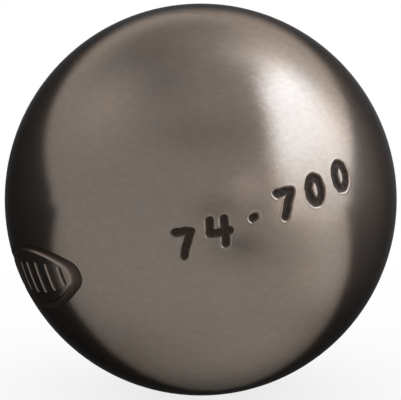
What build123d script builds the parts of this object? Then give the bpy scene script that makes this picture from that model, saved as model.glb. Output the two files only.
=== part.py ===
from build123d import *
import os
from math import atan2, cos, degrees, radians, sin, sqrt, tan

# A petanque boule: two hollow steel half shells, one with a spigot and one with a socket, pushed
# together, welded round the joint and turned to one smooth ball. Numbers and a stamped oval are
# cut into one of the half shells. Lengths are in millimetres and angles in degrees.
# The origin is the ball's centre, Z is up and the marks face -Y.

# The ball
boule_diameter = 74.0
wall = 6.17

# How the ball lies. The marks follow a great circle, the marking circle, whose axis leans from
# Z towards -X. A longitude is an angle along that circle from the front, positive to the right.
marking_lean = 19.7
pole_longitude = -19.0

# The joint between the half shells
spigot_length = 3.0
spigot_thickness = 2.0
spigot_clearance = 0.05
spigot_end_gap = 0.3
spigot_lead_in = 0.5
butt_land = 1.0
weld_root_width = 1.2
weld_bevel = 30.0

# The engraved row: diameter in millimetres, a dot, and mass in grams
row_text = "74.700"
row_longitude = 21.3
mark_pitch = 6.75
mark_height = 6.3
mark_width = 4.6
mark_tilt = 11.5
stroke_width = 1.8
stroke_depth = 0.6

# The stamped oval: a ring groove round a row of plain upright bars
oval_longitude = -64.5
oval_drop = 0.4
oval_length = 32.4
oval_height = 13.2
oval_end_radius = 3.6
ring_width = 2.0
ring_depth = 0.5
bar_count = 7
bar_pitch = 3.6
bar_width = 1.2
bar_depth = 0.35
bar_margin = 1.0

# How much wider the cutter's ball end is where a groove starts, stops or turns
dwell = 0.02

outer_radius = boule_diameter / 2
inner_radius = outer_radius - wall
spigot_radius = inner_radius + spigot_thickness
socket_radius = spigot_radius + spigot_clearance
root_radius = socket_radius + butt_land
root_half = weld_root_width / 2
socket_depth = spigot_length + spigot_end_gap


def weld_edge():
    """Where the weld's bevel meets the ball: its distance from the joint plane and from the weld's axis."""
    slope = tan(radians(weld_bevel))
    offset = root_half - slope * root_radius
    radius = (sqrt(outer_radius**2 * (1 + slope**2) - offset**2) - slope * offset) / (1 + slope**2)
    return offset + slope * radius, radius


def turned(edges):
    """The solid turned from a closed outline in the YZ plane, round the weld's axis, Y."""
    return revolve(make_face(Plane.YZ * Curve(edges)), Axis.Y)


def ball_arc(radius, start, end):
    """The arc of a circle about the origin between two points of it."""
    first = degrees(atan2(start[1], start[0]))
    last = degrees(atan2(end[1], end[0]))
    return CenterArc((0, 0), radius, first, last - first)


def half_shell(joint_face, inside_start, side):
    """A half shell with its pole on Y, on the given side.

    joint_face lists the outline's points from the weld's root inwards, for a pole at -Y, and
    inside_start is the point where the hollow's arc begins.
    """
    edge_offset, edge_radius = weld_edge()
    outer_end = (-edge_offset, edge_radius)
    outer_pole = (-outer_radius, 0)
    inner_pole = (-inner_radius, 0)
    outline = [ball_arc(outer_radius, outer_pole, outer_end)]
    outline += Polyline(outer_end, *joint_face, inside_start).edges()
    outline += [ball_arc(inner_radius, inside_start, inner_pole), Line(inner_pole, outer_pole)]
    solid = turned(outline)
    return solid if side < 0 else Rot(Z=180) * solid


def socket_half():
    """The half shell at -Y, counterbored for the other half's spigot."""
    floor_radius = sqrt(inner_radius**2 - socket_depth**2)
    face = [
        (-root_half, root_radius),
        (0, root_radius),
        (0, socket_radius),
        (-socket_depth, socket_radius),
    ]
    return half_shell(face, (-socket_depth, floor_radius), -1)


def spigot_half():
    """The half shell at +Y, whose inner lip reaches into the socket and backs the weld."""
    face = [
        (-root_half, root_radius),
        (0, root_radius),
        (0, spigot_radius),
        (spigot_length - spigot_lead_in, spigot_radius),
        (spigot_length, spigot_radius - spigot_lead_in),
        (spigot_length, inner_radius),
    ]
    return half_shell(face, (0, inner_radius), 1)


def weld_ring():
    """The weld that fills the groove between the two bevels, turned flush with the ball."""
    edge_offset, edge_radius = weld_edge()
    left = (-edge_offset, edge_radius)
    right = (edge_offset, edge_radius)
    sides = Polyline(left, (-root_half, root_radius), (root_half, root_radius), right)
    return turned([*sides.edges(), ball_arc(outer_radius, right, left)])


def on_ball(longitude, latitude):
    """The unit vector at a longitude and latitude of the marking circle."""
    across = cos(radians(latitude))
    turn = radians(longitude)
    return Vector(across * sin(turn), -across * cos(turn), sin(radians(latitude)))


def span(length):
    """The angle that a length along the ball's surface covers."""
    return degrees(length / outer_radius)


class Cutter:
    """A ball-ended cutter that leaves a groove of a given width and depth in the ball."""

    def __init__(self, width, depth):
        self.radius = (width**2 / 4 + depth**2) / (2 * depth)
        self.reach = outer_radius - depth + self.radius

    def plunge(self, point):
        """The cutter's ball end at a point of the ball, with its axis square to the surface."""
        return Plane(point * self.reach, z_dir=point) * Sphere(self.radius + dwell)

    def arc(self, axis, first, last):
        """The cutter carried from one point of the ball to another, anticlockwise round an axis."""
        height = axis * axis.dot(first)
        turn = (first - height).get_signed_angle(last - height, axis) % 360
        section = Plane(first * self.reach, x_dir=first, z_dir=axis.cross(first)) * Circle(self.radius)
        return revolve(section, Axis((0, 0, 0), axis), turn)

    def stroke(self, *points):
        """The cutter carried through two points, straight along the ball, or three, as a round arc."""
        first, last = points[0], points[-1]
        if len(points) == 2:
            axis = first.cross(last)
        else:
            axis = (points[1] - first).cross(last - points[1])
        return self.arc(axis.normalized(), first, last)

    def drawing(self, strokes, place):
        """The passes for strokes that meet at their ends: first a plunge at each end, then the strokes.

        place turns a stroke's flat points into points of the ball. A stroke of one point is a dot.
        """
        ends = dict.fromkeys(end for stroke in strokes for end in (stroke[0], stroke[-1]))
        passes = [self.plunge(place(*end)) for end in ends]
        for stroke in strokes:
            if len(stroke) > 1:
                passes.append(self.stroke(*[place(*point) for point in stroke]))
        return passes


def glyph_strokes(character):
    """The strokes of a numeral or dot, each with one to three points about the mark's centre."""
    high = (mark_height - stroke_width) / 2
    wide = (mark_width - stroke_width) / 2
    shoulder = high - wide
    bar = -0.05 * high
    stem = 0.75 * wide
    strokes = {
        ".": [[(0, 0)]],
        "0": [
            [(wide, shoulder), (0, high), (-wide, shoulder)],
            [(-wide, shoulder), (-wide, -shoulder)],
            [(-wide, -shoulder), (0, -high), (wide, -shoulder)],
            [(wide, -shoulder), (wide, shoulder)],
        ],
        "4": [
            [(-wide, high), (-1.2 * wide, bar)],
            [(-1.2 * wide, bar), (stem, bar)],
            [(stem, bar), (1.35 * wide, bar)],
            [(stem, high), (stem, bar)],
            [(stem, bar), (stem, -high)],
        ],
        "7": [
            [(-wide, high), (wide, high)],
            [(wide, high), (-0.4 * wide, -high)],
        ],
    }
    return strokes[character]


def engraved_row():
    """The cutter's passes for the row of numbers, each tilted about its own centre."""
    cutter = Cutter(stroke_width, stroke_depth)
    lean, upright = sin(radians(mark_tilt)), cos(radians(mark_tilt))
    middle = (len(row_text) - 1) / 2
    passes = []
    for number, character in enumerate(row_text):
        longitude = row_longitude + span((number - middle) * mark_pitch)

        def place(across, up):
            east = across * upright + up * lean
            north = up * upright - across * lean
            return on_ball(longitude + span(east), span(north))

        passes += cutter.drawing(glyph_strokes(character), place)
    return passes


def oval_ring():
    """The cutter's passes for the oval: four round arcs of the ball that run into each other.

    Each end arc is centred on the marking circle. Each side arc is centred past the oval's other
    side, as far off as makes it touch the two end arcs.
    """
    cutter = Cutter(ring_width, ring_depth)
    half_length = radians(span((oval_length - ring_width) / 2))
    half_height = radians(span((oval_height - ring_width) / 2))
    end_radius = radians(span(oval_end_radius - ring_width / 2))
    along = half_length - end_radius
    rise = half_height - end_radius
    away = atan2(cos(rise) - cos(along), sin(rise))
    ends = {end: on_ball(oval_longitude + end * degrees(along), 0) for end in (1, -1)}
    sides = {side: on_ball(oval_longitude, -side * degrees(away)) for side in (1, -1)}

    def corner(end, side):
        """Where an end arc and a side arc touch, on the line through their centres."""
        past_end = ends[end] * sin(away + rise + end_radius) - sides[side] * sin(end_radius)
        return past_end.normalized()

    corners = [corner(1, 1), corner(-1, 1), corner(-1, -1), corner(1, -1)]
    centres = [sides[1], ends[-1], sides[-1], ends[1]]
    passes = [cutter.plunge(point) for point in corners]
    for number, centre in enumerate(centres):
        passes.append(cutter.arc(centre, corners[number], corners[(number + 1) % len(corners)]))
    return passes


def oval_bars():
    """The cutter's passes for the upright bars, which shorten towards the oval's ends."""
    cutter = Cutter(bar_width, bar_depth)
    inset = ring_width + bar_margin
    reach_along = oval_length / 2 - inset
    reach_up = oval_height / 2 - inset
    middle = (bar_count - 1) / 2
    strokes = []
    for number in range(bar_count):
        across = (number - middle) * bar_pitch
        half = reach_up * sqrt(1 - (across / reach_along) ** 2) - bar_width / 2
        strokes.append([(across, -half), (across, half)])
    return cutter.drawing(strokes, lambda across, up: on_ball(oval_longitude + span(across), span(up)))


def stamped_oval():
    """The passes for the whole oval, which sits a little below the marking circle."""
    middle = on_ball(oval_longitude, 0)
    hinge = Axis((0, 0, 0), middle.cross(Vector(0, 0, -1)))
    return [cut.rotate(hinge, span(oval_drop)) for cut in oval_ring() + oval_bars()]


def laid(solid):
    """A solid from the marking circle's frame, leaned as the ball lies."""
    return Rot(Y=-marking_lean) * solid


turn_to_pole = Rot(Z=pole_longitude)
marked_half_shell = turn_to_pole * socket_half()
for cut in engraved_row() + stamped_oval():
    marked_half_shell -= cut

pieces = {
    "marked_half_shell": marked_half_shell,
    "plain_half_shell": turn_to_pole * spigot_half(),
    "weld_bead": turn_to_pole * weld_ring(),
}

os.makedirs("parts", exist_ok=True)
for name, piece in pieces.items():
    export_step(laid(piece), os.path.join("parts", name + ".step"))
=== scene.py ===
import logging
import math
from dataclasses import dataclass, field
from enum import Enum
from functools import cached_property
from typing import Any

import bpy
import numpy as np
from mathutils import Matrix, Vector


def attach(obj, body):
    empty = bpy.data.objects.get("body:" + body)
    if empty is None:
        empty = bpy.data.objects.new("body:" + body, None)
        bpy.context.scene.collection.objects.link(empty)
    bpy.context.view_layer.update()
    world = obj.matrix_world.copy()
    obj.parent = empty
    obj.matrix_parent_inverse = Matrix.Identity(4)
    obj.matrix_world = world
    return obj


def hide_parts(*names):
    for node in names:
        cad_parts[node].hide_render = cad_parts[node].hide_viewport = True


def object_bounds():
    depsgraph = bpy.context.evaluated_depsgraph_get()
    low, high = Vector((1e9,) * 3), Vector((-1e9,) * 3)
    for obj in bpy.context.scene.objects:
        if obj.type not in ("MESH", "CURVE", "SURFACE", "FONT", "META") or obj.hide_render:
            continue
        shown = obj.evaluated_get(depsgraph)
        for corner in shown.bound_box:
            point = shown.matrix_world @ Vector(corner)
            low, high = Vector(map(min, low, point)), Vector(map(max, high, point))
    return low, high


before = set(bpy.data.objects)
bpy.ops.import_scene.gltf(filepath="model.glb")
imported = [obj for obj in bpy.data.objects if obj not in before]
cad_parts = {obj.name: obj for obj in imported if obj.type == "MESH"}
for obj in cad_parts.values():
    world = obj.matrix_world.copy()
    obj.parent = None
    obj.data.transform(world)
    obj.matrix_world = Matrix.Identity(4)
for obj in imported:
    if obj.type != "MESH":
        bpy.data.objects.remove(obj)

# A petanque boule: two steel half shells and the weld between them, turned to one ball and satin
# finished, with hand-cut numbers and a stamped oval on one half. Lengths are in metres and angles
# in degrees, unless a name or docstring says otherwise. The origin is the ball's centre, Z is up
# and the marks face -Y.

LOG = logging.getLogger("boule")
CAD_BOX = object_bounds()
MM = 0.001
TINY = 1e-9
NOISE_MIDDLE = 0.5
ROUND_POINTS = 33
RIPPLE_WAVES = 8
RIPPLE_SPREAD = (0.7, 1.5)
TURN_STEPS = 288
BALL_RADIUS = (CAD_BOX[1].z - CAD_BOX[0].z) / 2
ROUND_TURNS = np.linspace(0.0, 2 * math.pi, ROUND_POINTS)
ALL_ROUND = np.linspace(0.0, 2 * math.pi, TURN_STEPS, endpoint=False)

Array = np.ndarray
Material = bpy.types.Material
Object = bpy.types.Object
Outputs = bpy.types.NodeOutputs
Socket = bpy.types.NodeSocket
Pair = tuple[float, float]
Triple = tuple[float, float, float]
Colour = tuple[float, float, float, float]


def smooth_step(low: float, high: float, values: Array) -> Array:
    """0 below low, 1 above high, and the cubic 3t^2 - 2t^3 between them."""
    share = np.clip((values - low) / (high - low), 0.0, 1.0)
    return share * share * (3.0 - 2.0 * share)


def bell(values: Array) -> Array:
    """The exponential of minus the square: 1 at 0, falling off to both sides."""
    return np.exp(-(values**2))


def cosine_sine(angle: float) -> Pair:
    """The cosine and the sine of an angle."""
    return math.cos(math.radians(angle)), math.sin(math.radians(angle))


def unit(vectors: Array) -> Array:
    """Vectors along the last axis, each brought to a length of 1."""
    return vectors / np.maximum(np.linalg.norm(vectors, axis=-1, keepdims=True), TINY)


def laid(axes: Array, *parts: Any) -> Array:
    """Points with these parts, numbers or grids, along the rows of axes."""
    return np.stack(np.broadcast_arrays(*parts), axis=-1) @ axes


def stretches(stops: list[float], steps: list[float], group: int = 1) -> Array:
    """Values from the first stop to the last, with a widest spacing for each stretch.

    Args:
        stops: Where the stretches begin, and where the last one ends.
        steps: The widest spacing of each.
        group: Each has a multiple of this many spaces.

    Returns:
        The values, both ends included.
    """
    runs = []
    for begin, end, step in zip(stops[:-1], stops[1:], steps):
        count = group * math.ceil((end - begin) / (step * group) - TINY)
        runs.append(np.linspace(begin, end, count, endpoint=False))
    return np.append(np.concatenate(runs), stops[-1])


def ripple(across: Array, up: Array, wavelength: float, seed: int) -> Array:
    """A soft unevenness on a flat field: sine waves that run all ways, added up.

    Args:
        across: The places' first coordinate.
        up: Their second coordinate.
        wavelength: About how long each wave is.
        seed: What the waves are drawn from.

    Returns:
        The height at each place, mostly from -1 to 1.
    """
    draw = np.random.default_rng(seed)
    turn = draw.uniform(0.0, math.pi, RIPPLE_WAVES)
    phase = draw.uniform(0.0, 2 * math.pi, RIPPLE_WAVES)
    pace = 2 * math.pi / (wavelength * draw.uniform(*RIPPLE_SPREAD, RIPPLE_WAVES))
    along = across[..., None] * np.cos(turn) + up[..., None] * np.sin(turn)
    return np.sin(along * pace + phase).sum(axis=-1) / math.sqrt(RIPPLE_WAVES)


def stroke_distance(across: Array, up: Array, strokes: Array) -> Array:
    """The distance from places of a flat field to the nearest straight stroke.

    Args:
        across: The places' first coordinate.
        up: Their second coordinate.
        strokes: An array of strokes by two ends by two coordinates.

    Returns:
        The length to the place's projection on the nearest stroke, held between its ends.
    """
    nearest = np.full(across.shape, np.inf)
    for begin, end in strokes:
        run = end - begin
        aside, above = across - begin[0], up - begin[1]
        share = np.clip((aside * run[0] + above * run[1]) / (run @ run), 0.0, 1.0)
        nearest = np.minimum(nearest, np.hypot(aside - share * run[0], above - share * run[1]))
    return nearest


def quads(grid: Array) -> Array:
    """The faces of a grid of point numbers, rows up and columns to the right, seen from outside."""
    corners = [grid[:-1, :-1], grid[:-1, 1:], grid[1:, 1:], grid[1:, :-1]]
    return np.stack(corners, axis=-1).reshape(-1, 4)


def linked(name: str, data: Any) -> Object:
    """Adds an object to the scene, at the origin.

    Args:
        name: The object's name.
        data: Its mesh or camera.

    Returns:
        The new object.
    """
    made = bpy.data.objects.new(name, data)
    bpy.context.scene.collection.objects.link(made)
    return made


def colour(red: float, green: float, blue: float) -> Colour:
    """A linear colour with full opacity."""
    return (red, green, blue, 1.0)


WHITE = colour(1.0, 1.0, 1.0)


@dataclass(frozen=True)
class Graph:
    """A node tree, with short calls that add a node and join it up."""

    tree: bpy.types.NodeTree
    noise_roughness: float = 0.55

    @classmethod
    def of(cls, owner: Any) -> "Graph":
        """Empties the nodes of a material or world.

        Args:
            owner: The material or world.

        Returns:
            Its node tree, with the short calls.
        """
        owner.use_nodes = True
        owner.node_tree.nodes.clear()
        return cls(owner.node_tree)

    def node(self, kind: str, inputs: dict[str | int, Any], **settings: Any) -> Outputs:
        """Adds a node.

        Args:
            kind: Blender's name for the node's type.
            inputs: What to set or link at each socket, by its name or number.
            settings: The node's own settings.

        Returns:
            The node's outputs.
        """
        made = self.tree.nodes.new(kind)
        for name, value in settings.items():
            setattr(made, name, value)
        for socket, value in inputs.items():
            if isinstance(value, Socket):
                self.tree.links.new(value, made.inputs[socket])
            else:
                made.inputs[socket].default_value = value
        return made.outputs

    def attribute(self, name: str, output: str = "Fac") -> Socket:
        """An attribute of the mesh."""
        return self.node("ShaderNodeAttribute", {}, attribute_name=name)[output]

    def math(self, operation: str, *values: Any) -> Socket:
        """The output of a Math node with these inputs, each a number or an output."""
        return self.node("ShaderNodeMath", dict(enumerate(values)), operation=operation)[0]

    def vector(self, operation: str, inputs: dict[int, Any], output: int = 0) -> Socket:
        """The output of a Vector Math node: 0 for its vector, 1 for its number."""
        return self.node("ShaderNodeVectorMath", inputs, operation=operation)[output]

    def ramp(self, value: Any, span: Pair, first: float = 0.0, last: float = 1.0) -> Socket:
        """A value carried smoothly from a span to the range first to last."""
        inputs = dict(enumerate((value, *span, first, last)))
        return self.node("ShaderNodeMapRange", inputs, interpolation_type="SMOOTHSTEP")[0]

    def blend(self, share: Any, first: Any, last: Any) -> Socket:
        """A colour between two others, by a share."""
        return self.node("ShaderNodeMix", {0: share, 6: first, 7: last}, data_type="RGBA")[2]

    def noise(self, place: Socket, size: float, detail: float, output: str = "Fac") -> Socket:
        """Soft noise with features of about a size, from 0 to 1, alone or in three channels."""
        settings = {"Scale": 1 / size, "Detail": detail, "Roughness": self.noise_roughness}
        return self.node("ShaderNodeTexNoise", {"Vector": place} | settings)[output]

    def drawn_out(self, place: Socket, size: Triple, turn: Triple = (0.0, 0.0, 0.0)) -> Socket:
        """Places in a turned frame whose three directions are measured in these sizes."""
        inputs = {"Vector": place, "Rotation": turn, "Scale": size}
        return self.node("ShaderNodeMapping", inputs, vector_type="TEXTURE")[0]


@dataclass(frozen=True)
class Hairlines:
    """One set of fine scratches that run about one way and tilt the surface a little.

    They are noise drawn out along a line that dips from X by slope and swings round Z by turn. The
    set fades out where that line runs into the ball, since it would show as dots there.
    """

    slope: float
    turn: float
    length: float
    width: float
    tilt: float
    fade: Pair = (0.4, 0.9)

    def output(self, graph: Graph, place: Socket) -> Socket:
        """Adds the scratches to a material.

        Args:
            graph: The material's nodes.
            place: Where on the ball.

        Returns:
            What the scratches add to the surface's normal.
        """
        dip, swing = math.radians(self.slope), math.radians(self.turn)
        flat = math.cos(dip)
        line = np.array([flat * math.cos(swing), flat * math.sin(swing), -math.sin(dip)])
        drawn = graph.drawn_out(place, (self.length, self.width, self.width), (0.0, dip, swing))
        noise = graph.noise(drawn, size=1.0, detail=1.0, output="Color")
        noise = graph.vector("SUBTRACT", {0: noise, 1: (NOISE_MIDDLE,) * 3})
        along = graph.vector("DOT_PRODUCT", {0: place, 1: line / BALL_RADIUS}, 1)
        fading = graph.ramp(graph.math("ABSOLUTE", along), self.fade, self.tilt, 0.0)
        return graph.vector("SCALE", {0: noise, 3: fading})


@dataclass(frozen=True)
class SatinSteel:
    """Steel rubbed to a satin finish, with tarnish and dark scale where the mesh says so.

    The mesh's attributes named tarnish and scale run from 0, bare steel, to 1. A span holds the
    values between which something sets in.
    """

    name: str
    warm: Colour = colour(0.177, 0.142, 0.117)
    cool: Colour = colour(0.169, 0.142, 0.122)
    tarnished: Colour = colour(0.074, 0.053, 0.045)
    scale_floor: Colour = colour(0.023, 0.0142, 0.0098)
    scale_wall: Colour = colour(0.076, 0.05, 0.037)
    edge_gloss: Colour = colour(0.4, 0.4, 0.4)
    scale_gloss: float = 0.375
    roughness: float = 0.185
    rough_range: float = 0.015
    rough_span: Pair = (0.3, 0.7)
    tarnish_roughness: float = 0.26
    scale_roughness: float = 0.6
    cloud_size: float = 14 * MM
    cloud_span: Pair = (0.35, 0.65)
    wave_size: float = 8 * MM
    wave_height: float = 0.005 * MM
    grain_size: float = 0.3 * MM
    grain_height: float = 0.03 * MM
    cover_grain: float = 0.12
    cover_span: Pair = (0.05, 0.25)
    floor_grain: float = 0.9
    floor_span: Pair = (0.3, 1.0)
    scratches: tuple[Hairlines, ...] = (
        Hairlines(3.0, 4.0, 2.4 * MM, 0.11 * MM, 0.06),
        Hairlines(16.0, -6.0, 2.0 * MM, 0.12 * MM, 0.048),
        Hairlines(-50.0, 8.0, 2.0 * MM, 0.12 * MM, 0.03),
        Hairlines(14.0, 82.0, 2.4 * MM, 0.12 * MM, 0.06),
    )
    rubbing: Triple = (1.8 * MM, 1.1 * MM, 0.8 * MM)
    rubbed: float = 0.05
    rubbed_span: Pair = (0.25, 0.75)

    def material(self) -> Material:
        """Makes the finish, with its patterns on Object coordinates.

        Returns:
            The new material.
        """
        made = bpy.data.materials.new(self.name)
        graph = Graph.of(made)
        place = graph.node("ShaderNodeTexCoord", {})["Object"]
        scale, tarnish = graph.attribute("scale"), graph.attribute("tarnish")
        clouds = graph.noise(place, self.cloud_size, detail=3.0)
        waves = graph.noise(place, self.wave_size, detail=1.0)
        grain = graph.noise(place, self.grain_size, detail=2.0)
        normal = graph.node("ShaderNodeNewGeometry", {})["Normal"]
        for lines in self.scratches:
            normal = graph.vector("ADD", {0: normal, 1: lines.output(graph, place)})

        rubbed = graph.noise(graph.drawn_out(place, self.rubbing), size=1.0, detail=4.0)
        shade = graph.ramp(rubbed, self.rubbed_span, 1.0 - self.rubbed, 1.0 + self.rubbed)
        steel = graph.blend(graph.ramp(clouds, self.cloud_span), self.cool, self.warm)
        steel = graph.vector("SCALE", {0: steel, 3: shade})
        steel = graph.blend(tarnish, steel, self.tarnished)
        uneven = graph.math("SUBTRACT", grain, NOISE_MIDDLE)
        cover = graph.math("MULTIPLY_ADD", uneven, self.cover_grain, scale)
        cover = graph.ramp(cover, self.cover_span)
        floor = graph.math("MULTIPLY_ADD", uneven, self.floor_grain, scale)
        crust = graph.blend(graph.ramp(floor, self.floor_span), self.scale_wall, self.scale_floor)

        low, high = self.roughness - self.rough_range, self.roughness + self.rough_range
        satin = graph.ramp(clouds, self.rough_span, low, high)
        satin = graph.math("MULTIPLY_ADD", tarnish, self.tarnish_roughness, satin)
        mixed = {0: cover, 2: satin, 3: self.scale_roughness}
        swell = graph.math("MULTIPLY", waves, self.wave_height)
        pitted = graph.math("MULTIPLY", graph.math("MULTIPLY", grain, cover), self.grain_height)
        bump = {"Strength": 1.0, "Distance": 1.0, "Height": graph.math("ADD", swell, pitted)}
        bump["Normal"] = graph.vector("NORMALIZE", {0: normal})
        inputs = {
            "Base Color": graph.blend(cover, steel, crust),
            "Metallic": graph.ramp(cover, (0.0, 1.0), 1.0, 0.0),
            "Roughness": graph.node("ShaderNodeMix", mixed, data_type="FLOAT")[0],
            "Normal": graph.node("ShaderNodeBump", bump)[0],
            "Specular IOR Level": self.scale_gloss,
            "Specular Tint": self.edge_gloss,
        }
        shader = graph.node("ShaderNodeBsdfPrincipled", inputs)
        graph.node("ShaderNodeOutputMaterial", {"Surface": shader[0]})
        return made


@dataclass(frozen=True)
class Ball:
    """How the ball lies, by the circle round it that the marks follow.

    A longitude runs along that circle from the front, positive to the right. A latitude runs
    across it, towards the circle's axis, which leans from Z towards -X.
    """

    lean: float = 19.7
    pole_longitude: float = -19.0

    def axes(self) -> Array:
        """Rows: to the right at the front, to the front, and along the marking circle's axis."""
        flat, rise = cosine_sine(self.lean)
        return np.array([(flat, 0.0, rise), (0.0, -1.0, 0.0), (-rise, 0.0, flat)])

    def direction(self, longitude: Any, latitude: Any) -> Array:
        """Unit vectors at longitudes and latitudes in radians, x, y and z along a last axis."""
        right, front = np.cos(latitude) * np.sin(longitude), np.cos(latitude) * np.cos(longitude)
        return laid(self.axes(), right, front, np.sin(latitude))

    def weld_axes(self) -> Array:
        """Works out the weld's frame.

        Returns:
            Rows: to the right and up in the weld's plane, and out through the marked half's pole.
        """
        pole = math.radians(self.pole_longitude)
        right = self.direction(pole + math.pi / 2, 0.0)
        return np.array([right, self.axes()[2], self.direction(pole, 0.0)])


@dataclass(frozen=True)
class Joint:
    """The turned joint between the half shells: a spigot in a socket under a bevelled weld groove.

    Its outlines have two coordinates: the distance past the joint plane, out of the half shell,
    and the distance from the weld's axis.
    """

    inner: float = BALL_RADIUS - 6.17 * MM
    spigot_radius: float = BALL_RADIUS - 4.17 * MM
    root: float = BALL_RADIUS - 3.12 * MM
    root_half: float = 0.6 * MM
    bevel: float = 30.0
    spigot_length: float = 3.0 * MM
    clearance: float = 0.05 * MM
    end_gap: float = 0.3 * MM
    lead_in: float = 0.5 * MM
    hollow_rings: int = 12

    def edge_angle(self) -> float:
        """Finds the weld's edge, where the bevel, a straight line from the root, meets the ball.

        Returns:
            The angle, in radians, from a half shell's pole to that edge.
        """
        slope = math.tan(math.radians(self.bevel))
        offset = self.root_half - slope * self.root
        square = 1 + slope**2
        reach = (math.sqrt(BALL_RADIUS**2 * square - offset**2) - slope * offset) / square
        return math.acos((offset + slope * reach) / BALL_RADIUS)

    def hollow(self, depth: float) -> Array:
        """Draws the hollow.

        Args:
            depth: How far behind the joint plane its arc begins.

        Returns:
            The outline of that arc, up to a ring beside the hollow's pole.
        """
        first = math.asin(depth / self.inner)
        turn = np.linspace(first, math.pi / 2, self.hollow_rings, endpoint=False)
        return self.inner * np.stack([-np.sin(turn), np.cos(turn)], axis=-1)

    def socket(self) -> Array:
        """Draws the marked half's joint.

        Returns:
            Its outline from the weld's root to the ring beside the hollow's pole.
        """
        depth = self.spigot_length + self.end_gap
        wide = self.spigot_radius + self.clearance
        corners = [(-self.root_half, self.root), (0.0, self.root), (0.0, wide), (-depth, wide)]
        return np.concatenate([corners, self.hollow(depth)])

    def spigot(self) -> Array:
        """Draws the plain half's joint.

        Returns:
            Its outline from the weld's root, over the spigot, to the ring beside the hollow's pole.
        """
        wide, tip = self.spigot_radius, self.spigot_length
        corners = [(-self.root_half, self.root), (0.0, self.root), (0.0, wide)]
        corners += [(tip - self.lead_in, wide), (tip, wide - self.lead_in), (tip, self.inner)]
        return np.concatenate([corners, self.hollow(0.0)])


@dataclass(frozen=True)
class Cut:
    """The cross-section of a groove in the ball, by the distance from its middle line.

    With t from 0 at the deepest line to 1 at an edge, the depth is 1 - t^2 to the power of roll.
    The deepest line lies off the middle by a share, the lean, of the half width. Outside the edge
    stands a low bell-shaped lip.
    """

    depth: float
    roll: float
    lip: float
    cover: Pair
    lean: float = 0.0
    lip_width: float = 0.1 * MM
    lip_start: Pair = (-0.5, 1.0)

    def carve(self, distance: Array, half_width: Any) -> tuple[Array, Array]:
        """Works out the groove.

        Args:
            distance: Signed distances from its middle line.
            half_width: How far from that line its edges are.

        Returns:
            The height above the ball, negative in the groove, and how much covers it: 1 where t is
            below the span of cover, and 0 where it is above.
        """
        place = distance / half_width - self.lean
        share = np.where(place > 0, place / (1 - self.lean), -place / (1 + self.lean))
        crest = (np.abs(distance) - half_width) / self.lip_width
        lip = self.lip * bell(crest - 1.0) * smooth_step(*self.lip_start, crest)
        depth = self.depth * (1.0 - np.clip(share, 0.0, 1.0) ** 2) ** self.roll
        return lip - depth, 1.0 - smooth_step(*self.cover, share)


class Numeral(Enum):
    """The marks of the engraved row: lines through points, in half widths and half heights."""

    SEVEN = (((-1.05, 0.98), (0.0, 1.02), (1.0, 0.96)), ((1.0, 0.96), (0.25, -0.05), (-0.3, -1.0)))
    FOUR = (
        ((-1.05, 1.0), (-1.15, 0.5), (-1.25, -0.05)),
        ((-1.25, -0.05), (0.0, -0.1), (1.35, -0.06)),
        ((0.82, 0.98), (0.74, 0.0), (0.66, -1.06)),
    )
    DOT = (((-0.1, -0.02), (0.1, 0.02)),)
    ZERO = (tuple((math.cos(turn), math.sin(turn)) for turn in ROUND_TURNS),)

    def strokes(self, half_size: Pair) -> Array:
        """The straight strokes between neighbouring points, as strokes by two ends by two."""
        lines = [np.array(line) * half_size for line in self.value]
        return np.concatenate([np.stack([line[:-1], line[1:]], axis=1) for line in lines])


@dataclass(frozen=True)
class EngravedRow:
    """Numbers cut by hand along the marking circle: the ball's diameter, a dot and its mass.

    Each stroke is cut in two passes that don't quite agree.
    """

    cut: Cut = Cut(0.55 * MM, roll=1.25, lip=0.03 * MM, cover=(0.4, 0.99), lip_width=0.12 * MM)
    half_stroke: float = 0.96 * MM
    marks: tuple[Numeral, ...] = (
        Numeral.SEVEN, Numeral.FOUR, Numeral.DOT, Numeral.SEVEN, Numeral.ZERO, Numeral.ZERO
    )
    longitude: float = 21.3
    pitch: float = 6.75 * MM
    half_size: Pair = (1.4 * MM, 2.25 * MM)
    tilt: float = 11.5
    passes: int = 2
    unsteady: float = 0.07 * MM
    wobble: float = 0.05 * MM
    wobble_wave: float = 1.9 * MM
    chatter: float = 0.08
    chatter_wave: float = 0.8 * MM
    seed: int = 74

    def strokes(self) -> Array:
        """Tilts each mark, puts it in its place and shakes it a little for every pass.

        Returns:
            The row's strokes, as strokes by two ends by two.
        """
        draw = np.random.default_rng(self.seed)
        flat, rise = cosine_sine(self.tilt)
        turn = np.array([[flat, -rise], [rise, flat]])
        middle = (len(self.marks) - 1) / 2
        cuts = []
        for number, mark in enumerate(self.marks):
            along = math.radians(self.longitude) * BALL_RADIUS + (number - middle) * self.pitch
            plain = mark.strokes(self.half_size) @ turn + np.array([along, 0.0])
            cuts += [plain + draw.normal(0.0, self.unsteady, 2) for _ in range(self.passes)]
        return np.concatenate(cuts)

    def carve(self, across: Array, up: Array) -> tuple[Array, Array]:
        """Cuts the row into the ball, with edges and a depth that are uneven by a ripple.

        Args:
            across: Distances along the marking circle from the front.
            up: Distances from that circle towards its axis.

        Returns:
            The height above the ball at those places, and how much scale covers them.
        """
        distance = stroke_distance(across, up, self.strokes())
        wobble = self.wobble * ripple(across, up, self.wobble_wave, self.seed)
        distance = np.maximum(distance + wobble, 0.0)
        height, scale = self.cut.carve(distance, self.half_stroke)
        uneven = 1.0 + self.chatter * ripple(across, up, self.chatter_wave, self.seed + 1)
        return np.where(height < 0, height * uneven, height), scale


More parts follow.
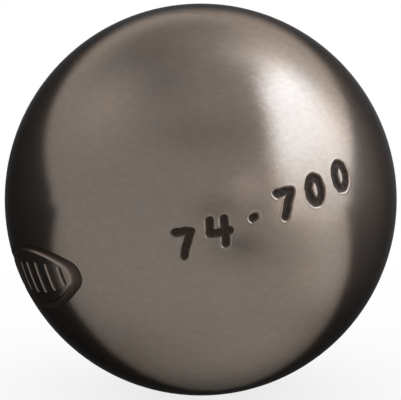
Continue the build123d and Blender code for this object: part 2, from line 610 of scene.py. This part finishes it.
@dataclass(frozen=True)
class StampedOval:
    """An oval ring with plain upright bars in it, pressed into the ball by a die.

    The ring lies between an outer and an inner oval and is widest at their ends. Each oval is
    given by its length, its height and the radius of its ends.
    """

    ring: Cut = Cut(0.45 * MM, roll=1.1, lip=0.02 * MM, cover=(0.6, 1.0), lean=-0.55)
    bar: Cut = Cut(0.32 * MM, roll=1.5, lip=0.012 * MM, cover=(0.2, 0.75), lip_width=0.08 * MM)
    outer: Triple = (32.4 * MM, 13.1 * MM, 3.0 * MM)
    inner: Triple = (25.6 * MM, 10.7 * MM, 2.3 * MM)
    longitude: float = -64.5
    drop: float = 0.4 * MM
    bar_width: float = 0.62 * MM
    bar_count: int = 7
    bar_pitch: float = 3.6 * MM
    bar_inset: float = 3.2 * MM
    tarnish_edge: Pair = (-0.95, -0.65)

    def outside(self, across: Array, up: Array, oval: Triple) -> Array:
        """The distance out from an oval's edge, negative inside.

        The edge is four arcs that run into each other. The end arcs are centred on the long axis.
        Each side arc is centred past the other side, where its circle touches both end arcs. A
        place belongs to the end arc beyond the line through the two centres.

        Args:
            across: Distances to the right from the oval's middle.
            up: Distances up from it.
            oval: The oval.

        Returns:
            The distance at those places.
        """
        length, height, end_radius = oval
        along = length / 2 - end_radius
        rise = height / 2 - end_radius
        away = (along**2 - rise**2) / (2 * rise)
        right, top = np.abs(across), np.abs(up)
        to_end = np.hypot(right - along, top) - end_radius
        to_side = np.hypot(right, top + away) - (away + height / 2)
        return np.where(right * away > along * (top + away), to_end, to_side)

    def bars(self) -> Array:
        """Lays out the upright bars, which end on a smaller ellipse inside the ring.

        Returns:
            The bars, as strokes by two ends by two.
        """
        across = (np.arange(self.bar_count) - (self.bar_count - 1) / 2) * self.bar_pitch
        length, height, _ = self.outer
        share = across / (length / 2 - self.bar_inset)
        half = (height / 2 - self.bar_inset) * np.sqrt(1 - share**2) - self.bar_width
        low = np.stack([across, -half], axis=-1)
        return np.stack([low, low * np.array([1.0, -1.0])], axis=1)

    def carve(self, across: Array, up: Array) -> tuple[Array, Array, Array]:
        """Presses the stamp into the ball.

        Args:
            across: Distances along the marking circle from the front.
            up: Distances from that circle towards its axis.

        Returns:
            The height above the ball at those places, and how much scale and tarnish cover them.
        """
        across = across - math.radians(self.longitude) * BALL_RADIUS
        up = up + self.drop
        from_outer = self.outside(across, up, self.outer)
        from_inner = self.outside(across, up, self.inner)
        ring, width = (from_inner + from_outer) / 2, (from_inner - from_outer) / 2
        bar = stroke_distance(across, up, self.bars())
        ring_height, tarnish = self.ring.carve(ring, width)
        bar_height, scale = self.bar.carve(bar, self.bar_width)
        tarnish = tarnish * smooth_step(*self.tarnish_edge, ring / width)
        return ring_height + bar_height, scale, tarnish


@dataclass
class Sheet:
    """Grids of points that are joined into one closed mesh."""

    points: list[Array] = field(default_factory=list)
    creases: list[Array] = field(default_factory=list)
    covers: list[Array] = field(default_factory=list)
    faces: list[Array] = field(default_factory=list)

    def place(self, points: Array, crease: Any = 0, cover: Any = 0.0) -> Array:
        """Adds points of any grid shape.

        Args:
            points: The points, with x, y and z along the last axis.
            crease: The number of the sharp line that each point is on, or 0.
            cover: The amounts of scale and of tarnish, along a last axis, or 0.

        Returns:
            The points' numbers in the mesh, in the grid's shape.
        """
        shape = points.shape[:-1]
        first = sum(map(len, self.points))
        self.points.append(points.reshape(-1, 3))
        self.creases.append(np.broadcast_to(crease, shape).ravel())
        self.covers.append(np.broadcast_to(cover, (*shape, 2)).reshape(-1, 2))
        return first + np.arange(len(self.points[-1])).reshape(shape)

    def turn(self, axes: Array, outline: Array, crease: Array, angle: Array = ALL_ROUND) -> Array:
        """Adds an outline turned about an axis.

        Args:
            axes: Rows: two directions across the axis, and the axis, out through the pole.
            outline: Points by distance past the joint plane, away from the pole, and from the axis.
            crease: The crease of each of those points.
            angle: Angles in radians from the first direction towards the second.

        Returns:
            The points' numbers by outline by angle, with the first angle repeated at the end.
        """
        past, reach = outline[:, 0, None], outline[:, 1, None]
        points = laid(axes, reach * np.cos(angle), reach * np.sin(angle), -past)
        numbers = self.place(points, crease[:, None])
        return np.concatenate([numbers, numbers[:, :1]], axis=1)

    def fan(self, line: Array, tip: int) -> None:
        """Joins a line that runs to the right, as seen from outside, to one point above it."""
        tips = np.full(len(line) - 1, tip)
        self.faces.append(np.stack([line[:-1], line[1:], tips], axis=-1))

    def step(self, fine: Array, coarse: Array, upwards: bool) -> None:
        """Joins a fine line to a coarse one, with one face for each coarse space.

        Args:
            fine: The fine line's point numbers, to the right as seen from outside.
            coarse: The coarse line's.
            upwards: Whether the coarse line is above the fine one.
        """
        group = (len(fine) - 1) // (len(coarse) - 1)
        shares = [fine[k : len(fine) - group + k : group] for k in range(group)]
        face = np.stack([*shares, fine[group::group], coarse[1:], coarse[:-1]], axis=-1)
        self.faces.append(face if upwards else face[:, ::-1])

    def piece(self, name: str, finish: Material) -> Object:
        """Makes the mesh, smooth but for its creases.

        Args:
            name: The piece's name.
            finish: Its material.

        Returns:
            The finished piece.
        """
        mesh = bpy.data.meshes.new(name)
        faces = [face for block in self.faces for face in block.tolist()]
        mesh.from_pydata(np.concatenate(self.points), [], faces)
        mesh.shade_smooth()
        crease = np.concatenate(self.creases)
        ends = np.empty(2 * len(mesh.edges), dtype=np.int32)
        mesh.edges.foreach_get("vertices", ends)
        first, last = crease[ends[0::2]], crease[ends[1::2]]
        mesh.edges.foreach_set("use_edge_sharp", (first == last) & (first > 0))
        for layer, amount in zip(("scale", "tarnish"), np.concatenate(self.covers).T):
            kept = mesh.attributes.new(layer, "FLOAT", "POINT")
            kept.data.foreach_set("value", amount.astype(np.float32))
        mesh.materials.append(finish)
        mesh.update()
        return linked(name, mesh)


@dataclass(frozen=True)
class MarkedHalf:
    """The half shell with the marks.

    A finely gridded band runs along the marking circle, with a plainer cap above and below it, and
    the turned joint and the hollow behind them.
    """

    finish: Material
    ball: Ball = Ball()
    joint: Joint = Joint()
    row: EngravedRow = EngravedRow()
    oval: StampedOval = StampedOval()
    row_span: Pair = (-9.5, 52.0)
    oval_span: Pair = (-91.0, -38.5)
    edge_strip: float = 0.35
    edge_step: float = 0.06 * MM
    row_step: float = 0.115 * MM
    oval_step: float = 0.14 * MM
    plain_step: float = 0.5 * MM
    row_reach: float = 3.7 * MM
    oval_reach: float = 7.3 * MM
    upright_step: float = 0.15 * MM
    cap_step: float = 2.4
    cap_growth: float = 1.3
    cap_most: int = 200
    group: int = 4

    def columns(self) -> Array:
        """Spaces the columns, closest at the weld and over the marks.

        Returns:
            The columns as shares of the half shell's half width, from -1 to 1.
        """
        edge, pole = math.degrees(self.joint.edge_angle()), self.ball.pole_longitude
        left, right = pole - edge, pole + edge
        stops = [left, left + self.edge_strip, *self.oval_span, *self.row_span]
        stops += [right - self.edge_strip, right]
        wide = self.plain_step
        lengths = [self.edge_step, wide, self.oval_step, wide, self.row_step, wide, self.edge_step]
        steps = [math.degrees(length / BALL_RADIUS) for length in lengths]
        shares = (stretches(stops, steps, self.group) - pole) / edge
        shares[[0, -1]] = [-1.0, 1.0]
        return shares

    def band(self) -> Array:
        """The band's rows, as latitudes in radians."""
        stops = [-self.oval_reach, -self.row_reach, self.row_reach, self.oval_reach]
        return stretches(stops, [self.upright_step, self.row_step, self.upright_step]) / BALL_RADIUS

    def cap(self) -> Array:
        """Spaces the rows of the upper cap, from the band up.

        The angle about the weld's axis at which a row meets the weld has the sine of the latitude,
        over that of the angle from pole to weld. The spaces of that angle grow up to a widest.

        Returns:
            The rows, without the cap's tip, as latitudes in radians.
        """
        edge = math.sin(self.joint.edge_angle())
        first = math.asin(math.sin(self.band()[-1]) / edge)
        spaces = self.upright_step / BALL_RADIUS * self.cap_growth ** np.arange(self.cap_most)
        reach = np.cumsum(np.minimum(spaces, math.radians(self.cap_step)))
        whole = math.pi / 2 - first
        last = int(np.searchsorted(reach, whole))
        return np.arcsin(edge * np.sin(first + reach[:last] * whole / reach[last]))

    def skin(self, sheet: Sheet, latitudes: Array, shares: Array) -> Array:
        """Adds a grid of the outside, carved with the marks.

        A row at a latitude reaches the weld where the cosine of the longitude from the pole is
        the weld edge's cosine over the latitude's. Its columns are shares of that longitude.

        Args:
            sheet: Where the points go.
            latitudes: The rows.
            shares: The columns.

        Returns:
            The points' numbers, rows up and columns to the right.
        """
        half = np.arccos(math.cos(self.joint.edge_angle()) / np.cos(latitudes))
        longitude = math.radians(self.ball.pole_longitude) + half[:, None] * shares
        latitude = np.broadcast_to(latitudes[:, None], longitude.shape)
        across, up = longitude * BALL_RADIUS, latitude * BALL_RADIUS
        row_height, row_scale = self.row.carve(across, up)
        oval_height, oval_scale, tarnish = self.oval.carve(across, up)
        reach = BALL_RADIUS + row_height + oval_height
        cover = np.stack([np.maximum(row_scale, oval_scale), tarnish], axis=-1)
        crease = np.where(np.abs(shares) == 1.0, 1, 0)
        points = self.ball.direction(longitude, latitude) * reach[..., None]
        numbers = sheet.place(points, crease, cover)
        sheet.faces.append(quads(numbers))
        return numbers

    def build(self) -> Object:
        """Builds the outside, and then the joint and the hollow.

        The rim of the outside, taken round from the lowest point, gives the angles at which the
        joint and the hollow are turned, so that they close on it point for point.

        Returns:
            The half shell as one closed piece.
        """
        sheet = Sheet()
        shares, band, cap = self.columns(), self.band(), self.cap()
        coarse = shares[:: self.group]
        middle = self.skin(sheet, band, shares)
        upper = self.skin(sheet, cap, coarse)
        lower = self.skin(sheet, -cap[::-1], coarse)
        axes, edge = self.ball.weld_axes(), self.joint.edge_angle()
        tips = [math.sin(edge) * side * axes[1] + math.cos(edge) * axes[2] for side in (-1, 1)]
        bottom, top = sheet.place(np.array(tips) * BALL_RADIUS, 1)
        sheet.step(middle[-1], upper[0], True)
        sheet.step(middle[0], lower[-1], False)
        sheet.fan(upper[-1], top)
        sheet.fan(lower[0][::-1], bottom)

        right, left = ([grid[:, end] for grid in (lower, middle, upper)] for end in (-1, 0))
        rim = np.concatenate([[bottom], *right, [top], np.concatenate(left)[::-1], [bottom]])
        rows = np.concatenate([-cap[::-1], band, cap])
        turn = np.arcsin(np.sin(rows) / math.sin(edge))
        turn = np.concatenate([[-math.pi / 2], turn, [math.pi / 2], math.pi - turn[::-1]])
        outline = self.joint.socket()
        number = np.arange(len(outline))
        crease = np.where(number <= len(outline) - self.joint.hollow_rings, number + 2, 0)
        inside = np.concatenate([[rim], sheet.turn(axes, outline, crease, turn)])
        pole = sheet.place(axes[2:] * self.joint.inner)[0]
        sheet.faces.append(quads(inside.T))
        sheet.fan(inside[-1][::-1], pole)
        return sheet.piece("marked_half", self.finish)


@dataclass(frozen=True)
class PlainHalf:
    """The half shell without marks, turned in one go from pole to spigot to hollow."""

    finish: Material
    ball: Ball = Ball()
    joint: Joint = Joint()
    rings: int = 72
    edge_strip: float = 0.06 * MM

    def build(self) -> Object:
        """Turns the outline about the weld's axis, with its pole opposite the marked half's.

        The outside is an arc from beside the pole to the weld's edge, with one more ring close to
        that edge, and the joint's outline follows.

        Returns:
            The half shell as one closed piece.
        """
        sheet = Sheet()
        axes = self.ball.weld_axes() * np.array([[-1.0], [1.0], [-1.0]])
        edge = self.joint.edge_angle()
        angle = np.linspace(0.0, edge, self.rings)[1:-1]
        angle = np.append(angle, [edge - self.edge_strip / BALL_RADIUS, edge])
        outside = BALL_RADIUS * np.stack([-np.cos(angle), np.sin(angle)], axis=-1)
        outline = np.concatenate([outside, self.joint.spigot()])
        corners = len(outline) - len(outside) - self.joint.hollow_rings + 1
        number = np.arange(len(outline)) - len(outside) + 1
        crease = np.where((number >= 0) & (number <= corners), number + 1, 0)
        grid = sheet.turn(axes, outline, crease)
        outer, inner = sheet.place(axes[[2, 2]] * np.array([[BALL_RADIUS], [self.joint.inner]]))
        sheet.faces.append(quads(grid.T))
        sheet.fan(grid[0], outer)
        sheet.fan(grid[-1][::-1], inner)
        return sheet.piece("plain_half", self.finish)


@dataclass(frozen=True)
class WeldRing:
    """The weld between the half shells: two bevels, a narrow root and a face turned flush."""

    finish: Material
    ball: Ball = Ball()
    joint: Joint = Joint()
    face_rows: int = 10

    def build(self) -> Object:
        """Turns the outline, whose face is an arc of the ball from edge to edge.

        Returns:
            The weld as one closed ring.
        """
        sheet = Sheet()
        edge = self.joint.edge_angle()
        angle = np.linspace(edge, math.pi - edge, self.face_rows)
        face = BALL_RADIUS * np.stack([-np.cos(angle), np.sin(angle)], axis=-1)
        half, root = self.joint.root_half, self.joint.root
        outline = np.concatenate([face, [(half, root), (-half, root)]])
        crease = np.zeros(len(outline), dtype=int)
        crease[[0, self.face_rows - 1, -2, -1]] = [1, 2, 3, 4]
        grid = sheet.turn(self.ball.weld_axes(), outline, crease)
        sheet.faces.append(quads(np.concatenate([grid, grid[:1]]).T))
        return sheet.piece("weld_ring", self.finish)


@dataclass(frozen=True)
class PhotoCamera:
    """A long lens in front of the ball, a little above it.

    The ball's outline is a circle of outline_radius pixels about outline_centre, from the top left.
    """

    elevation: float = 10.96
    distance: float = 0.9
    image: tuple[int, int] = (401, 400)
    outline_centre: Pair = (200.706, 199.538)
    outline_radius: float = 196.086

    def axes(self) -> Array:
        """Rows: to the right, up, and towards the camera, as the camera sees the ball."""
        flat, rise = cosine_sine(self.elevation)
        return np.array([(1.0, 0.0, 0.0), (0.0, rise, flat), (0.0, -flat, rise)])

    def build(self) -> None:
        """Aims the camera at the ball's centre and shifts it by a part of a pixel.

        The outline's cone has the sine radius over distance, which with its size in pixels gives
        the lens.
        """
        data = bpy.data.cameras.new("photo_camera")
        wide, high = self.image
        tangent = BALL_RADIUS / math.sqrt(self.distance**2 - BALL_RADIUS**2)
        data.lens = self.outline_radius / tangent / wide * data.sensor_width
        data.shift_x = (wide / 2 - self.outline_centre[0]) / wide
        data.shift_y = (self.outline_centre[1] - high / 2) / wide
        made = linked("photo_camera", data)
        axes = self.axes()
        made.matrix_world = Matrix.Translation(axes[2] * self.distance) @ Matrix(axes.T).to_4x4()
        bpy.context.scene.camera = made


@dataclass(frozen=True)
class Patch:
    """A soft patch of light or shade: a bell about a bearing and a height or reach."""

    bearing: float
    height: float
    width: float
    rise: float
    gain: float

    def strength(self, bearing: Array, height: Array) -> Array:
        """What the patch adds at bearings and heights."""
        aside = (bearing - self.bearing + 180.0) % 360.0 - 180.0
        return self.gain * bell(aside / self.width) * bell((height - self.height) / self.rise)


@dataclass(frozen=True)
class SoftBox:
    """The main light on the tent, up to the right of the camera.

    It is brightest near its top and fades downwards. Its left edge is the parabola a + bt + ct^2,
    with t from 0 to 1 between the left heights. Past its right edge a weak spill reaches round
    behind the ball.
    """

    tint: Triple = (0.86, 1.0, 1.16)
    peak: float = 4.85
    foot: float = 1.55
    climb: Pair = (-10.0, 36.0)
    top: float = 61.8
    top_bearing: float = 90.0
    top_slope: float = 0.06
    top_soft: float = 8.5
    left: Triple = (46.0, -7.5, 25.0)
    left_heights: Pair = (5.0, 62.0)
    left_soft: float = 9.5
    right: float = 107.5
    right_soft: float = 20.0
    spill: float = 0.08
    spill_end: Pair = (135.0, 180.0)
    glow: Patch = Patch(107.0, 58.0, 34.0, 16.0, 1.9)

    def strength(self, bearing: Array, height: Array) -> Array:
        """Multiplies the light's level by a soft step at each edge.

        Args:
            bearing: Bearings on the tent.
            height: Heights on the tent.

        Returns:
            What the light adds there.
        """
        level = self.foot + (self.peak - self.foot) * smooth_step(*self.climb, height)
        low, high = self.left_heights
        share = np.clip((height - low) / (high - low), 0.0, 1.0)
        left = self.left[0] + self.left[1] * share + self.left[2] * share**2
        inside = smooth_step(-self.left_soft, self.left_soft, bearing - left)
        falling = smooth_step(-self.right_soft, self.right_soft, bearing - self.right)
        spill = self.spill * (1.0 - smooth_step(*self.spill_end, bearing))
        above = height - self.top - self.top_slope * (bearing - self.top_bearing)
        below = 1.0 - smooth_step(-self.top_soft, self.top_soft, above)
        box = level * inside * (1.0 - falling * (1.0 - spill)) * below
        return box + self.glow.strength(bearing, height)


@dataclass(frozen=True)
class DarkOpening:
    """The dim room behind the ball, seen through the open side of the tent.

    Its outline is given in ball radii where the mirrored view of it crosses the plane through the
    ball's centre, square to the camera. A pair of values is for the right and the left.
    """

    top: float = 1.17
    top_soft: float = 0.103
    crest_width: Pair = (0.71, 1.08)
    shoulder: Pair = (0.99, 0.945)
    shoulder_slope: Pair = (0.048, 0.098)
    shoulder_soft: Pair = (0.066, 0.08)
    lower: float = -1.07
    lower_start: Pair = (0.5, 2.0)
    lower_slope: Pair = (0.03, 0.035)
    lower_soft: float = 0.05
    side: float = 6.33
    side_soft: float = 0.7
    level: float = 0.1
    climb: float = 0.63
    gain: float = 0.33
    gain_power: float = 0.35

    def glow(self, across: Array, up: Any) -> Array:
        """How brightly the room glows.

        A base level grows with the height as an exponential. To the right a gain is added: the
        cube of the cosine of the clock angle, times a power of the distance from the ball, times
        an exponential of the height.

        Args:
            across: Distances to the right.
            up: Distances up.

        Returns:
            The levels at those places.
        """
        radius = np.maximum(np.hypot(across, up), 1.0)
        aside = (np.maximum(across, 0.0) / radius) ** 3 * (radius - 1.0) ** self.gain_power
        return self.level * np.exp(self.climb * up) + self.gain * aside * np.exp(up)

    def cover(self, across: Array, up: Array) -> Array:
        """How far the room fills places of the opening's plane.

        The upper edge is a bell on shoulders that fall in a straight line to both sides. The
        lower edge follows the floor and lifts off it in a straight line from a start on.

        Args:
            across: Distances to the right.
            up: Distances up.

        Returns:
            The room's share of those places, from 0 to 1.
        """
        right, aside = across > 0, np.abs(across)
        shoulder = np.where(right, *self.shoulder)
        edge = shoulder - np.where(right, *self.shoulder_slope) * aside
        edge = edge + (self.top - shoulder) * bell(across / np.where(right, *self.crest_width))
        soft = np.where(right, *self.shoulder_soft)
        soft = soft + (self.top_soft - soft) * bell(across)
        cover = 1.0 - smooth_step(-1.0, 1.0, (up - edge) / soft)
        lift = np.maximum(aside - np.where(right, *self.lower_start), 0.0)
        lower = self.lower + np.where(right, *self.lower_slope) * lift
        cover = cover * smooth_step(-self.lower_soft, self.lower_soft, up - lower)
        return cover * (1.0 - smooth_step(-self.side_soft, self.side_soft, aside - self.side))


@dataclass(frozen=True)
class FloorMirror:
    """The floor as the ball mirrors it, in ball radii: painted light to the right, the ball's
    painted shadow under it.
    """

    base: float = 1.035
    # A painted pool of light on the mirrored floor, to the right.
    lit: float = 0.7
    lit_bearing: float = 74.0
    lit_width: float = 22.0
    lit_from: float = 1.2
    patches: tuple[Patch, ...] = (
        Patch(80.0, 1.8, 100.0, 0.65, 0.12),
        Patch(25.0, 7.5, 9.0, 3.5, -0.22),
        Patch(82.0, 14.0, 22.0, 6.0, 0.36),
        Patch(38.0, 0.75, 28.0, 0.4, 0.16),
        Patch(-40.0, 0.8, 26.0, 0.32, -0.15),
    )
    # Where the ball's painted shadow on the mirrored floor ends, and how it fades.
    edge: float = -0.205
    edge_dip: float = -0.215
    dip_across: float = -0.75
    dip_width: float = 1.05
    edge_rise: Pair = (1.6, 5.0)
    edge_slope: float = 0.094
    edge_length: float = 0.085
    edge_power: float = 0.47
    # A painted dark spot on the mirrored floor, in front of the ball to the right.
    dark_spot: Pair = (1.5, -4.3)
    dark_spot_size: Pair = (1.0, 1.5)
    dark_spot_gain: float = -0.5

    def glow(self, across: Array, along: Array, dark: Array) -> Array:
        """How brightly places on the floor glow.

        A painted pool of light brightens the floor to the right with the root of the distance's
        logarithm, and a painted dark spot lies in front of the ball, to the right. The ball's
        painted shadow ends at a line that dips towards the camera as a bell and rises away from
        it over a stretch to the right. From there the floor opens towards the camera as one minus
        a falling exponential.

        Args:
            across: Distances to the right.
            along: Distances away from the camera.
            dark: The level of the ball's painted shadow under it.

        Returns:
            The levels at those places.
        """
        reach, bearing = np.hypot(across, along), np.degrees(np.arctan2(across, -along))
        lit = self.lit * np.sqrt(np.log(np.maximum(reach / self.lit_from, 1.0)))
        bright = self.base * (1.0 + lit * bell((bearing - self.lit_bearing) / self.lit_width))
        bright = bright * (1.0 + sum(patch.strength(bearing, reach) for patch in self.patches))
        # The painted dark spot, darkening the floor's reflection.
        aside = (across - self.dark_spot[0]) / self.dark_spot_size[0]
        beyond = (along - self.dark_spot[1]) / self.dark_spot_size[1]
        bright = bright + self.dark_spot_gain * bell(aside) * bell(beyond)
        # The ball's painted shadow under it, and the painted light past its edge.
        dip = bell((across - self.dip_across) / self.dip_width)
        rise = np.clip(across, *self.edge_rise) - self.edge_rise[0]
        edge = self.edge + self.edge_dip * dip + self.edge_slope * rise
        past = np.maximum(edge - along, 0.0) / self.edge_length
        light = 1.0 - np.exp(-(past**self.edge_power))
        return dark * (1 - light) + bright * light


@dataclass(frozen=True)
class Studio:
    """A pale room: white all round, a white floor, and what the ball mirrors of it.

    The ball stands in a tent with a soft box and softly shaded walls, open to a dim room behind
    the ball. A bearing runs round the camera's upright from the camera, positive to the right,
    and a height runs up from the level through the ball and the camera.
    """

    camera: PhotoCamera = PhotoCamera()
    box: SoftBox = SoftBox()
    opening: DarkOpening = DarkOpening()
    mirror: FloorMirror = FloorMirror()
    patches: tuple[Patch, ...] = (
        Patch(-82.0, 56.0, 34.0, 23.0, 0.6),
        Patch(-84.0, 66.0, 55.0, 19.0, -0.67),
        Patch(2.0, 37.0, 40.0, 11.5, -0.24),
        Patch(-162.0, 54.0, 30.0, 10.0, -0.31),
        Patch(28.0, 7.0, 10.0, 7.0, 0.6),
        Patch(9.0, -6.0, 11.0, 7.0, -0.36),
        Patch(120.0, 74.0, 45.0, 9.0, 0.3),
        Patch(175.0, 30.0, 44.0, 21.0, 2.6),
    )
    tent_tint: Triple = (0.995, 1.0, 1.02)
    floor_tint: Triple = (0.99, 1.0, 0.995)
    dark_tint: Triple = (0.97, 1.0, 1.06)
    tent_radius: float = 0.8
    tent_heights: Pair = (-12.0, 90.0)
    tent_lines: tuple[int, int] = (137, 241)
    floor_size: float = 4.0
    floor_lines: int = 9
    floor_white: float = 0.2
    floor_glow: float = 0.8
    mirror_lift: float = 0.5 * MM
    mirror_reach: float = 20.0
    mirror_back: float = -0.4
    mirror_lines: int = 161
    mirror_crowding: float = 4.5
    mirror_steps: int = 30
    grazing: float = 0.02

    def darkened(self, points: Array, strength: Array) -> Array:
        """Lays the dim room over what glows behind the ball.

        The place of the ball that shows a point to the camera halves, with its outward direction,
        the angle between the ways to the camera and to the point. Repeated steps find it. From
        there the ray to the point crosses the opening's plane.

        Args:
            points: The points, with x, y and z along the last axis.
            strength: How brightly each glows without the room, in red, green and blue.

        Returns:
            How brightly each glows with it.
        """
        points = points @ self.camera.axes().T / BALL_RADIUS
        eye = np.array([0.0, 0.0, self.camera.distance / BALL_RADIUS])
        place = unit(unit(points) + unit(eye))
        for _ in range(self.mirror_steps):
            place = unit(unit(eye - place) + unit(points - place))
        ray = unit(points - place)
        reach = place[..., 2] / np.maximum(-ray[..., 2], self.grazing)
        across, up, _ = np.moveaxis(place + ray * reach[..., None], -1, 0)
        behind = (points[..., 2] < 0.0) & (ray[..., 2] < 0.0)
        cover = np.where(behind, self.opening.cover(across, up), 0.0)
        dark = self.opening.glow(across, up)[..., None] * np.array(self.dark_tint)
        return strength + (dark - strength) * cover[..., None]

    def stage(self, name: str, points: Array, finish: Material, glow: Array | None = None) -> None:
        """Adds a grid of points to the stage. One that glows shows in reflections alone.

        Args:
            name: The new object's name.
            points: The points, with x, y and z along the last axis.
            finish: The material.
            glow: How brightly each point glows in red, green and blue.
        """
        mesh = bpy.data.meshes.new(name)
        grid = np.arange(points[..., 0].size).reshape(points.shape[:-1])
        mesh.from_pydata(points.reshape(-1, 3), [], quads(grid).tolist())
        mesh.materials.append(finish)
        made = linked(name, mesh)
        if glow is not None:
            kept = mesh.attributes.new("strength", "FLOAT_VECTOR", "POINT")
            kept.data.foreach_set("vector", glow.astype(np.float32).ravel())
            made.visible_camera = made.visible_diffuse = False
            made.visible_transmission = made.visible_shadow = False

    def build_world(self) -> None:
        """A white surround that lights the floor evenly."""
        world = bpy.data.worlds.new("pale_room")
        graph = Graph.of(world)
        back = graph.node("ShaderNodeBackground", {"Color": WHITE, "Strength": 1.0})
        graph.node("ShaderNodeOutputWorld", {"Surface": back[0]})
        bpy.context.scene.world = world

    @cached_property
    def glowing(self) -> Material:
        """The material that glows as the mesh's attribute named strength says."""
        made = bpy.data.materials.new("glowing_card")
        made.cycles.emission_sampling = "NONE"
        graph = Graph.of(made)
        strength = graph.attribute("strength", "Vector")
        glow = graph.node("ShaderNodeEmission", {"Color": strength, "Strength": 1.0})
        graph.node("ShaderNodeOutputMaterial", {"Surface": glow[0]})
        return made

    def build_floor(self) -> None:
        """A white floor under the ball that takes its shadow and reads white to the camera.

        It glows for camera, glossy and transmission rays and for no others.
        """
        made = bpy.data.materials.new("white_floor")
        graph = Graph.of(made)
        matt = graph.node("ShaderNodeBsdfDiffuse", {"Color": colour(*[self.floor_white] * 3)})
        path = graph.node("ShaderNodeLightPath", {})
        seen = graph.math("MAXIMUM", path["Is Camera Ray"], path["Is Glossy Ray"])
        seen = graph.math("MAXIMUM", seen, path["Is Transmission Ray"])
        strength = graph.ramp(seen, (0.0, 1.0), 0.0, self.floor_glow)
        glow = graph.node("ShaderNodeEmission", {"Color": WHITE, "Strength": strength})
        both = graph.node("ShaderNodeAddShader", {0: matt[0], 1: glow[0]})
        graph.node("ShaderNodeOutputMaterial", {"Surface": both[0]})
        reach = np.linspace(-self.floor_size / 2, self.floor_size / 2, self.floor_lines)
        across, along = np.meshgrid(reach, reach)
        points = np.stack([across, along, np.full_like(across, -BALL_RADIUS)], axis=-1)
        self.stage("floor", points, made)

    def build_tent(self) -> None:
        """The tent: a sphere round the ball, down to the floor, with the soft box and patches."""
        rows, columns = self.tent_lines
        bearing = np.linspace(-180.0, 180.0, columns)[None, :]
        height = np.linspace(*self.tent_heights, rows)[:, None]
        level = 1.0 + sum(patch.strength(bearing, height) for patch in self.patches)
        added = self.box.strength(bearing, height)
        full = np.clip(added / self.box.peak, 0.0, 1.0)[..., None]
        tint = 1.0 + (np.array(self.box.tint) - 1.0) * full
        strength = level[..., None] * np.array(self.tent_tint) + added[..., None] * tint
        turn, rise = np.radians(bearing), np.radians(height)
        parts = [np.cos(rise) * np.sin(turn), np.sin(rise), np.cos(rise) * np.cos(turn)]
        points = laid(self.camera.axes(), *parts) * self.tent_radius
        self.stage("tent", points, self.glowing, self.darkened(points, strength))

    def build_mirror(self) -> None:
        """The mirrored floor, close above the floor, its lines spaced as a sinh about the ball."""
        crowding = self.mirror_crowding
        spread = np.linspace(-crowding, crowding, self.mirror_lines)
        reach = self.mirror_reach * np.sinh(spread) / math.sinh(crowding)
        across, along = np.meshgrid(reach, reach + self.mirror_back)
        height = np.full_like(across, self.mirror_lift / BALL_RADIUS - 1.0)
        points = np.stack([across, along, height], axis=-1) * BALL_RADIUS
        # The sheet glows with the floor's painted light and the ball's painted shadow.
        level = self.mirror.glow(across, along, self.opening.glow(across, -1.0))[..., None]
        strength = self.darkened(points, level * np.array(self.floor_tint))
        self.stage("floor_mirror", points, self.glowing, strength)

    def build(self) -> None:
        """The whole studio with its camera."""
        bpy.context.scene.view_settings.view_transform = "Standard"
        self.build_world()
        self.build_floor()
        self.build_tent()
        self.build_mirror()
        self.camera.build()


@dataclass(frozen=True)
class Boule:
    """The whole ball: both half shells and the weld between them."""

    satin: SatinSteel = SatinSteel("satin_steel")
    weld: SatinSteel = SatinSteel(
        "weld_steel",
        warm=colour(0.166, 0.133, 0.11),
        cool=colour(0.158, 0.133, 0.114),
        roughness=0.2,
    )

    def build(self) -> None:
        """Builds each piece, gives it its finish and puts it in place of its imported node."""
        satin, weld = self.satin.material(), self.weld.material()
        made = {
            "marked_half_shell": (MarkedHalf(satin).build(), "satin_steel"),
            "plain_half_shell": (PlainHalf(satin).build(), "satin_steel"),
            "weld_bead": (WeldRing(weld).build(), "weld_steel"),
        }
        for node, (piece, slot) in made.items():
            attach(piece, "root")
            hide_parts(node)
            triangles = len(piece.data.loops) - 2 * len(piece.data.polygons)
            LOG.info("%s replaces %s: %d triangles", piece.name, node, triangles)


def main() -> None:
    """Builds the boule, then the studio."""
    Boule().build()
    Studio().build()
    LOG.info("studio built")


if __name__ == "__main__":
    logging.basicConfig(level=logging.INFO, format="%(name)s: %(message)s")
    main()
